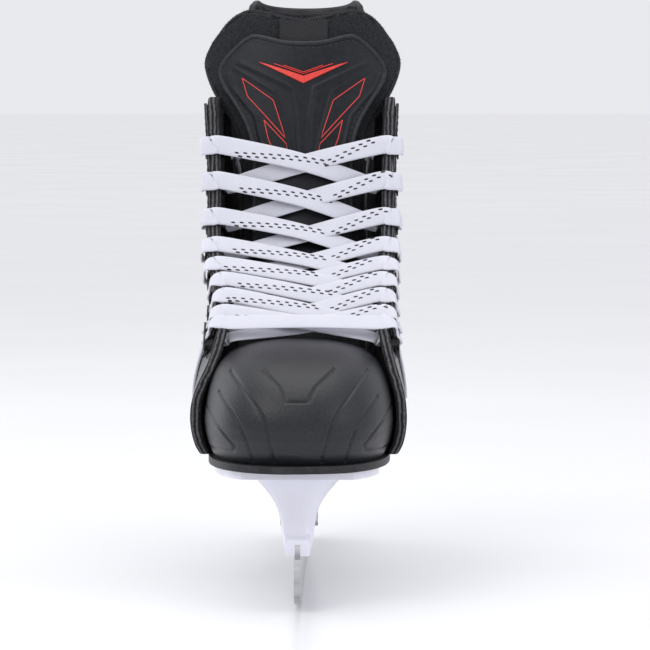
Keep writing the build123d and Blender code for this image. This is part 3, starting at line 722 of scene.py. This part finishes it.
def tendon_guard(m):
    """The guard and its cushion, as two shells above the boot's collar."""
    columns, rows = 61, 26
    hinge = at(GUARD_HINGE) * MM
    for name, node_name, grow, inset, thick, rounding, key, slot in (
            ("tendon_guard_shell", "tendon_guard", 0, 0, 4, 1.3, "guard", "guard_plastic"),
            ("tendon_cushion", "tendon_pad", -3, 4.2, 4.8, 1.9, "lining", "lining")):
        grid = np.zeros((columns, rows, 2))
        for i in range(columns):
            s = 2 * i / (columns - 1) - 1
            side = -1 if s < 0 else 1
            base, top = GUARD_BASE - min(grow, 0), GUARD_TOP + grow - 3.8 * (1 - abs(s) ** 2.2)
            for j in range(rows):
                z = base + (top - base) * (j / (rows - 1))
                grid[i, j] = (abs(s) * unroll(side, guard_edge(z, grow), z)[0], z)
        piece = shell(name, grid, wall_at(inset), thick, rounding, [m[key]] * 3)
        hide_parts(node_name)
        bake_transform(piece)


# ---- toe cap

CAP_MID, CAP_BASE, CAP_RISE, CAP_WIDTH = 74, 86, 37.5, 45.4
CAP_CUT, CAP_CUT_SLOPE = 68.7, 21.8 / 80  # d of the rear edge at z 140, and its lean
GROOVE_DEPTH, GROOVE_FADE = 0.7, 0.75
CAP_LINES = (
    [(-16.5, 113.2), (-8.2, 105.5), (-5, 99.3), (5.2, 99.3), (8.6, 105.5), (17.5, 113.2)],
    [(-31.5, 111.5), (-22, 101), (-14.5, 89.5), (-10.6, 71)],
    [(32.5, 111.5), (24, 101), (16.5, 89.5), (11.6, 71)],
    [(-37, 102), (-29.5, 93), (-24, 83), (-20.5, 71)],
    [(37.5, 100), (31, 92), (26, 83), (22.5, 71)],
    [(-44.3, 94), (-29, 78), (-29.6, 75.3), (-42, 74.6)],
    [(44.3, 94), (31, 78.5), (31.6, 75.8), (42.5, 74.8)],
)


def cap_scale(z):
    """How far the cap reaches forward at a height, as a share of its longest reach."""
    if z <= CAP_BASE:
        return float(np.interp(z, (66, 69, 75, 81, CAP_BASE), (0.84, 0.9, 0.955, 0.99, 1)))
    return max(0, 1 - min(1, (z - CAP_BASE) / CAP_RISE) ** 2.05) ** 0.49


def cap_width(z):
    """The cap's half width at a height."""
    if z <= CAP_BASE:
        return CAP_WIDTH * cap_scale(z)
    t = min(1, (z - CAP_BASE) / CAP_RISE)
    return CAP_WIDTH * (1 - 0.26 * t ** 1.8) * sqrt(max(0, 1 - t ** 9))


def cap_point(angle, z, inset):
    """A point of the cap's nose at an angle from straight ahead, in degrees."""
    k = cap_scale(z)
    w, reach = max(0, cap_width(z) - inset), max(0, CAP_MID * k - inset)
    a = radians(angle)
    x = copysign(abs(sin(a)) ** 0.8, a) * w
    lower = inset if z > CAP_BASE else 0.4 * inset
    return x, at(CAP_MID - reach * max(0, cos(a)) ** 0.8), z - lower


def cap_front_point(x, z):
    """The cap's surface point seen straight ahead at x and z."""
    w = cap_width(z)
    lean = min(1, (abs(x) / w) ** 1.25)
    return np.array(cap_point(copysign(asin(lean) * 180 / pi, x), z, 0))


def cap_surface(inset, back_shift, angles, heights):
    """Points [column][row]: the nose, with a straight run back to the slanted rear edge at each end."""
    run = 7
    columns = []
    for end, steps in ((-1, range(run, 0, -1)), (0, angles), (1, range(1, run + 1))):
        for step in steps:
            column = []
            for z in heights:
                if end == 0:
                    column.append(cap_point(step, z, inset))
                    continue
                x, y, z2 = cap_point(90.0 * end, z, inset)
                cut = CAP_CUT + (140.0 - z) * CAP_CUT_SLOPE + back_shift
                column.append((x, y + max(0.02, at(cut) - at(CAP_MID)) * step / run, z2))
            columns.append(column)
    return np.array(columns)


def cap_shell(name, inset, thick, back_shift, bottom, materials, angle_count, grooves):
    """The cap's form at an inset, as a closed shell. angle_count sets how fine its mesh is."""
    angles = [45 * sin(pi / 2 * n) + 45 * n for n in np.linspace(-1, 1, angle_count)]
    heights = list(np.linspace(bottom, CAP_BASE, angle_count // 8))
    heights += [CAP_BASE + CAP_RISE * sin(a) for a in np.linspace(0, pi / 2, angle_count // 3)[1:]]
    outer = cap_surface(inset, back_shift, angles, heights)
    inner = cap_surface(inset + thick, back_shift, angles, heights)
    columns, rows = outer.shape[:2]
    if grooves:
        outer = engrave(outer)
    verts = list(outer.reshape(-1, 3)) + list(inner.reshape(-1, 3))
    count = columns * rows
    faces = grid_faces(columns, rows) + grid_faces(columns, rows, count, True)
    for i in range(columns - 1):
        faces.append((i * rows, count + i * rows, count + (i + 1) * rows, (i + 1) * rows))
    for i in (0, columns - 1):
        for j in range(rows - 1):
            a = i * rows + j
            faces.append((a, a + 1, count + a + 1, count + a))
    piece = make(name, verts, faces, materials)
    outside(piece, merge=True)
    round_off = piece.modifiers.new("edges", "BEVEL")
    round_off.width, round_off.segments = 0.0008, 3
    round_off.limit_method, round_off.angle_limit = "ANGLE", radians(50)
    return piece


def engrave(points):
    """Sinks fine moulded lines into the cap."""
    normal = np.cross(np.gradient(points, axis=0), np.gradient(points, axis=1))
    normal /= np.maximum(norm(normal, axis=2, keepdims=True), 1e-9)
    centre = np.array((0, at(60), 88))
    flip = np.sign(((points - centre) * normal).sum(2, keepdims=True))
    normal = normal * np.where(flip == 0, 1, flip)
    depth = np.zeros(points.shape[:2])
    for line in CAP_LINES:
        fine = smooth_line(line, 6) if len(line) == 4 and abs(line[0][1] - line[-1][1]) > 25 else line
        route = np.array([cap_front_point(x, z) for x, z in evenly(fine, 60)])
        for p, q in zip(route[:-1], route[1:]):
            way = q - p
            t = np.clip(((points - p) @ way) / max(way @ way, 1e-9), 0, 1)
            gap = norm(points - (p + t[..., None] * way), axis=2)
            depth = np.maximum(depth, GROOVE_DEPTH * np.clip(1.3 - gap / GROOVE_FADE, 0, 1))
    return points - normal * depth[..., None]


def toe_cap(m):
    """The moulded cap and the felt inside it."""
    piece = cap_shell("toe_cap_shell", 0, CAP_WALL, 0, 69.5, [m["cap"]], 301, True)
    enter(piece, "cap_plastic", "toe_cap")
    inner = cap_shell("toe_cap_lining", CAP_WALL + GAP, 2, -19, 70, [m["lining"]], 61, False)
    enter(inner, "lining", "toe_lining")


# ---- tongue

FELT_SIDE = ((109.5, 31), (190, 31), (214, 31.5), (226, 34.5), (236, 40.5), (246, 46),
             (256, 49.3), (263, 49.6), (270, 46.5), (274, 43.5))
FELT_TOP = ((0, 279.5), (0.2, 281), (0.42, 283.8), (0.62, 285.6), (0.78, 283.4), (0.9, 279.4),
            (1, 274))
SHIELD_SIDE = ((138, 25), (200, 25), (213, 25.6), (226, 29.2), (236, 34.5), (247, 40.8),
               (254, 42.6), (259, 40.6))
SHIELD_TOP = ((0, 266.3), (0.25, 267.2), (0.45, 269.6), (0.62, 271.2), (0.75, 268.6), (0.88, 264),
              (1, 259))
SPLAY = 1.03  # the lateral ear is a little wider than the medial one


def tongue_grid(side_rows, top_rows, base, columns, rows):
    """A grid of (x, z) between a base, a top edge (share of the width, z) and sides (z, half width)."""
    grid = np.zeros((columns, rows, 2))
    top_curve, side_curve = through(*zip(*top_rows)), through(*zip(*side_rows))
    for i in range(columns):
        s = 2 * i / (columns - 1) - 1
        top = top_curve(abs(s))
        for j in range(rows):
            z = base + (top - base) * j / (rows - 1)
            half = side_curve(min(z, side_rows[-1][0]))
            grid[i, j] = (s * half * (SPLAY if s < 0 else 1), z)
    return grid


# Moulded ridges of the shield, medial side, as (x, z); the lateral ones mirror them.
RIDGES = ([(33, 257), (5.8, 243), (3.6, 228), (2.2, 205)],
          [(35.5, 254.5), (14.6, 241), (10.4, 226), (5.6, 205)],
          [(38.6, 251), (36.8, 245), (24.6, 229.5), (19, 205)])
OUTLINES = ([(31.4, 249), (15.3, 236.9), (8.9, 217.5), (28.6, 239.6)],
            [(20, 227), (8.3, 214.4), (7.4, 206), (13.2, 206), (17.8, 217.5)])


def ridge_relief(x, z):
    """Height of the moulded pattern: steps on one side of each ridge, and a raised border."""
    best = 0.0
    for n, line in enumerate(RIDGES):
        for (x0, z0), (x1, z1) in zip(line, line[1:]):
            run, rise = x1 - x0, z1 - z0
            t = min(1, max(0, ((abs(x) - x0) * run + (z - z0) * rise) / (run * run + rise * rise)))
            gap = hypot(abs(x) - x0 - t * run, z - z0 - t * rise)
            width, height = (1, 0.55) if n == 1 else (1.5, 0.95)
            best = max(best, height * max(0, 1 - gap / width))
    return best


def across_bend(piece):
    """Finds the tongue's line on either side of the bend above the top lace, which nothing uses, and
    bakes the piece's transform.
    """
    low, high = (tongue_at(0)(0, TONGUE_SPLIT + step, 3) for step in (-TONGUE_BEND, TONGUE_BEND))
    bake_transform(piece)


def tongue(m):
    """The felt, the moulded shield on it and the woven patch at its top."""
    felt_grid = tongue_grid(FELT_SIDE, FELT_TOP, 109.5, 65, 100)

    def felt_place(x, z, inward):
        """The felt thins towards its sides; inward runs from 0 to 8."""
        return tongue_at(0)(x, z, inward * (1 - 0.375 * (x / 50) ** 2))

    def ripple(x, z):
        return 0.22 * sin(x * 0.9 + 2 * sin(z * 0.31)) * sin(z * 0.7 + sin(x * 0.53))

    felt = shell("tongue_felt", felt_grid, felt_place, 8, 2.2, [m["felt"]] * 3, relief=ripple)
    enter(felt, "felt", "tongue_felt_lower", "tongue_felt_upper", pad=0.9, body="bend")
    fuzz(m, felt_grid, felt_place)
    shield_grid = tongue_grid(SHIELD_SIDE, SHIELD_TOP, 138, 121, 170)
    shield = shell("tongue_shield", shield_grid, tongue_at(3.3), 2.9, 0.9,
                   [m["shield"], m["rim"], m["rim"]], relief=ridge_relief)
    enter(shield, "shield_vinyl", "tongue_shield_lower", "tongue_shield_upper", body="bend")
    shield_details(m, shield_grid)
    patch_grid = between([(-12.4, 266.5), (12.4, 266.5)],
                         [(-12.6, 278.6), (0, 277.6), (12.6, 278.6)], 30, 18)
    patch = shell("tongue_pull_patch", patch_grid, tongue_at(1.5), 1.2, 0.4, [m["twill"]] * 3)
    enter(patch, "twill", "tongue_patch", body="tongue_top")


FIBRES, FIBRE_RADIUS = 2600, 0.05


def fuzz(m, grid, place):
    """Short loose fibres along the felt's raised edge, above the laces."""
    columns, rows = grid.shape[:2]
    edge = [(grid[0, j], (-1, 0.2)) for j in range(rows * 2 // 3, rows)]
    edge += [(grid[i, -1], (0, 1)) for i in range(columns)]
    edge += [(grid[-1, j], (1, 0.2)) for j in range(rows - 1, rows * 2 // 3, -1)]
    verts, faces = [], []
    for _ in range(FIBRES):
        spot, way = random.choice(edge)
        drop = random.uniform(0.2, 2.6)
        depth = random.uniform(-0.2, 5)
        root = place(spot[0] - way[0] * drop * 0.6, spot[1] - way[1] * drop * 0.6, depth)
        out = place(spot[0] + way[0], spot[1] + way[1], depth) - place(*spot, depth)
        out = out / norm(out) + np.array([random.gauss(0, 0.7) for _ in range(3)])
        out = out / norm(out) * random.uniform(0.7, 1.7)
        wide = np.cross(out, (random.gauss(0, 1), random.gauss(0, 1), random.gauss(0, 1)))
        wide = unit(wide) * FIBRE_RADIUS
        thick = unit(np.cross(out, wide)) * FIBRE_RADIUS
        base = len(verts)
        verts += [root - wide, root + wide, root + thick, root + out]
        faces += [[base + n for n in face] for face in ((0, 1, 3), (1, 2, 3), (2, 0, 3), (0, 2, 1))]
    piece = make("felt_fibres", verts, faces, [m["fibre"]])
    enter(piece, "felt", body="bend")


def shield_details(m, grid):
    """Border cord, stitches, thin outlines and the plain chevron."""
    place = tongue_at(3.3)

    def ring(step):
        """The shield's upper edge, step inside it."""
        line = [grid[0, j] + (step, 0) for j in range(45, 168)]
        line += [grid[i, -1] - (0, step) for i in range(3, 118)]
        return line + [grid[-1, j] - (step, 0) for j in range(167, 44, -1)]

    border = bead("shield_border", evenly(ring(1.1), 90), place, 2.3, 1.3, m["rim"])
    seam = stitches("shield_stitches", ring(3.6), place, 3, 1.9, 0.36, m["thread"], 0)
    for piece in (border, seam):
        enter(piece, "shield_vinyl", body="bend")
    for side, name in SIDES:
        for n, line in enumerate(OUTLINES):
            path = [(side * x, z) for x, z in line]
            piece = bead(f"red_outline_{name}_{n}", path, tongue_at(3.35), 0.45, 0.35, m["red"], True)
            enter(piece, "red_trim", body="bend")
    low = [(-22.5, 256.2), (0, 245.2), (22.5, 256.2)]
    high = [(-22.5, 256.6), (0, 249), (22.5, 256.6)]
    grid = between(low, high, 61, 6)
    chevron = shell("tongue_chevron_trim", grid, tongue_at(4), 0.7, 0.15, [m["red"]] * 3)
    enter(chevron, "red_trim", "tongue_chevron", body="tongue_top")
    for n in range(2):
        reach, low = 15.0 - 5.0 * n, 249.9 + 0.85 * n
        line = [(-reach, low + 0.36 * reach), (0, low), (reach, low + 0.36 * reach)]
        stripe = bead(f"chevron_line_{n}", line, tongue_at(3.9), 0.4, 0.9, m["red"])
        enter(stripe, "red_trim", body="tongue_top")


# ---- lace

def tilted(n, degrees):
    """The facing's normal turned forwards, as a direction."""
    c, s = cos(radians(degrees)), sin(radians(degrees))
    return 0, n[0] * c - n[1] * s, n[1] * c + n[0] * s


def over_edge(side, k):
    """From the middle over the facing's edge at eyelet k and through the eyelet to the inside."""
    (d, z), n = FACING[k], facing_normal(k)
    hd, hz = d - n[0] * EYELET_IN, z - n[1] * EYELET_IN
    w = abs(wall(*unroll(side, d, z))[0])
    hw = abs(wall(*unroll(side, hd, hz))[0])
    up, flat = tilted(n, LACE_TILT[k]), (side, 0, 0)
    size = sqrt(2)
    lean, back = (side / size, n[0] / size, n[1] / size), (-side / size, n[0] / size, n[1] / size)

    def spot(x, step):
        return (side * x, at(d + step * n[0]), z + step * n[1])

    return [(spot(w - 8, 1.2), up, LACE_WIDTH, LACE_THICK),
            (spot(w - 1, 1.6), up, LACE_WIDTH, LACE_THICK),
            (spot(w + 3.6, 0.4), lean, LACE_WIDTH, LACE_THICK),
            (spot(w + 4.6, -4), flat, LACE_WIDTH - 1.5, LACE_THICK),
            ((side * (hw + 4), at(hd), hz), lean, 4.4, 1.8),
            ((side * (hw - 2), at(hd), hz), up, 3.8, 2.2),
            ((side * (hw - 7.4), at(hd), hz), up, 4.2, 1.8),
            ((side * (hw - 10.5), at(hd + 3.0 * n[0]), hz + 3.0 * n[1]), back, 8, LACE_THICK)]


def lace_half(side):
    """Half the lace from the start bar's middle to its tucked end."""
    n = facing_normal(0)
    d0, z0 = FACING[0]
    route = [((0, at(d0 + 1.8 * n[0]), z0 + 1.8 * n[1]), tilted(n, LACE_TILT[0]),
              LACE_WIDTH, LACE_THICK)]
    marks = []
    for k in range(len(FACING)):
        route += over_edge(side, k)
        if k + 1 < len(FACING):
            n = facing_normal(k)
            (d, z), (d2, z2) = FACING[k], FACING[k + 1]
            lift = LACE_LIFT[k] + (-LACE_THICK if side < 0 else LACE_THICK)
            middle = (0, at((d + d2) / 2 + lift * n[0]), (z + z2) / 2 + lift * n[1])
            marks.append((len(route), side))
            route.append((middle, tilted(n, LACE_TILT[k]), LACE_WIDTH, LACE_THICK))
            side = -side
    for d, z in ((194, 204), (205, 186), (210, 160), (206, 134)):
        w = abs(wall(*unroll(side, d, z))[0])
        route.append(((side * (w - TUCK_IN), at(d), z), (side, 0, 0), 7, LACE_THICK))
    return route, marks


def lace(m):
    """One flat lace from tuck to tuck, with its tracer threads."""
    first, marks_a = lace_half(-1)
    second, marks_b = lace_half(1)
    route = first[::-1] + second[1:]
    marks = [(len(first) - 1 - i, side) for i, side in marks_a]
    marks += [(len(first) - 1 + i, side) for i, side in marks_b]
    rows = smooth_line([[*p, *way, w, t] for p, way, w, t in route], SPAN)
    widths = rows[:, 6] * (1 + 0.02 * np.sin(np.arange(len(rows)) * 0.37))
    piece, ribbon = sweep("lace_ribbon", rows[:, :3], rows[:, 3:6], widths, rows[:, 7], m["lace"])
    enter(piece, "lace_polyester", "lace")
    tracers(m, ribbon, marks)


DASH_PITCH, DASH_STAGGER = 4.3, 2.1
DASH = ((-1.3, 0), (-0.85, 0.48), (0.85, 0.48), (1.3, 0), (0.85, -0.48), (-0.85, -0.48))


def tracers(m, ribbon, marks):
    """Two staggered rows of dark dashes that drift across the lace at each crossing."""
    way = ribbon[-1]
    verts, faces = [], []
    for index, side in marks:
        middle = way[index * SPAN]
        reach = (-34, 10) if side > 0 else (-40, -12)
        if index * SPAN > len(way) // 2:
            reach = (-reach[1], -reach[0])
        shift = random.uniform(-5, 5)
        for step in np.arange(reach[0], reach[1], DASH_PITCH):
            for row in (0, 1):
                place = middle + shift + step + DASH_STAGGER * row
                drift = 3.4 - 6.6 * (step - reach[0]) / (reach[1] - reach[0])
                offset = drift + (0.75 if row else -0.75)
                for face in (-1, 1):
                    add_dash(verts, faces, ribbon, place, offset, face)
    piece = make("lace_tracer_threads", verts, faces, [m["thread"]])
    outside(piece)
    enter(piece, "lace_polyester")


def add_dash(verts, faces, ribbon, place, offset, face):
    """One stitch of a tracer thread, standing just proud of the lace's face."""
    *frames, way = ribbon
    centre, ahead, top, sideways = (along_at(place, way, line) for line in frames)
    base = len(verts)
    lift = face * (LACE_THICK / 2 - 0.02)
    for height, grow in ((-0.12, 1), (0.1, 0.8)):
        rise = top * (lift + face * height)
        for a, b in DASH:
            verts.append(centre + ahead * a * grow + sideways * (offset + b * grow) + rise)
    faces += tube_faces(base, 2, len(DASH))


# ---- footbed

def footbed(m):
    """A crowned foam bed with a raised edge."""
    low_box, high_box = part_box("footbed")
    y0, y1 = low_box.y / MM, high_box.y / MM
    stations, ring = 60, 20
    verts, uvs = [], []
    for i in range(stations):
        d = y0 + HALF + (y1 - y0) * (0.5 - 0.5 * cos(pi * (i / (stations - 1))))
        taper = sqrt(max(0, 1 - max(0, (62 - d) / (62 - y0 - HALF)) ** 2.2))
        taper *= sqrt(max(0, 1 - max(0, (d - 240) / (y1 + HALF - 240)) ** 2))
        widths = [np.interp(d, (60, 105, 150, 200, 243), w)
                  for w in ((32, 31, 25.5, 20.5, 20.5), (32, 30.5, 23, 19, 20.5))]
        base = 66 + 8 * min(1, max(0, (d - 115) / 75)) + 7.15
        for p in range(ring):
            a = 2 * pi * p / ring
            w = widths[1] if cos(a) > 0 else widths[0]
            x = copysign(abs(cos(a)) ** 0.5, cos(a)) * w * max(taper, 0.02)
            crown = 2.0 + 1.9 * copysign(abs(sin(a)) ** 0.6, sin(a)) * max(taper, 0.05) ** 0.3
            verts.append((x, at(d), base + crown))
            uvs.append((x, d))
    piece = make("footbed_foam", verts, tube_faces(0, stations, ring), [m["foam"]], uvs)
    outside(piece)
    enter(piece, "foam", "footbed", pad=0.8)


# ---- CAD pieces, stage, light and camera

CAD_FINISH = {
    "runner": "steel", "blade_holder": "nylon", "runner_screws": "zinc", "runner_nuts": "zinc",
    "front_rivets": "zinc", "rear_rivets": "zinc", "outsole": "sole", "insole_board": "board",
    "eyelets_lateral": "lacquer", "eyelets_medial": "lacquer", "lace_aglets": "aglet",
}


def dress_cad(m):
    """Gives the CAD pieces that stay visible their finishes."""
    for name, key in CAD_FINISH.items():
        for slot in nodes[name].material_slots:
            slot.material = m[key]


FLOOR_HALF = 40.0  # metres


def area_light(name, place, size, power, colour):
    """A rectangular lamp that faces the middle of the skate."""
    data = bpy.data.lights.new(name, "AREA")
    data.shape = "RECTANGLE"
    data.size, data.size_y = size
    data.energy = power
    data.color = colour
    lamp = placed(name, data)
    lamp.location = place
    lamp.rotation_euler = (Vector((0, 0, 0.14)) - Vector(place)).to_track_quat("-Z", "Y").to_euler()


def stage_and_light(m):
    """A pale floor, a pale surrounding and four soft lamps."""
    corners = [(x * FLOOR_HALF, y * FLOOR_HALF, 0) for x, y in ((-1, -1), (1, -1), (1, 1), (-1, 1))]
    mesh = bpy.data.meshes.new("floor")
    mesh.from_pydata(corners, [], [(0, 1, 2, 3)])
    mesh.materials.append(m["floor"])
    placed("floor", mesh)
    scene.world = bpy.data.worlds.new("studio")
    scene.world.use_nodes = True
    background = scene.world.node_tree.nodes["Background"].inputs
    background["Color"].default_value = (0.96, 0.965, 1, 1)
    background["Strength"].default_value = 0.85
    scene.view_settings.view_transform = "Standard"
    area_light("key", (-0.9, -1.1, 1.5), (1.2, 1.2), 11, (1, 0.99, 0.98))
    area_light("fill", (1.3, -0.8, 0.9), (1, 1.4), 5, (0.93, 0.95, 1))
    area_light("top", (0, 0.1, 1.6), (1.2, 1.2), 8, (1, 1, 1))
    area_light("left_edge", (-1.1, 0.7, 0.5), (0.6, 1.4), 4, (0.94, 0.96, 1))


def camera():
    """Straight ahead of the toe, a little above the ice, with a long lens."""
    data = bpy.data.cameras.new("camera")
    data.sensor_width = 36.0
    data.lens = 182.2
    eye = placed("camera", data)
    eye.location = (0.030, -1.646, 0.240)
    eye.rotation_euler = (radians(86), 0, radians(0.646))
    scene.camera = eye


materials = make_materials()
camera()
stage_and_light(materials)
dress_cad(materials)
lace(materials)
tongue(materials)
toe_cap(materials)
quarters(materials)
eyestays(materials)
side_panels(materials)
heel_counter(materials)
linings(materials)
tendon_guard(materials)
footbed(materials)
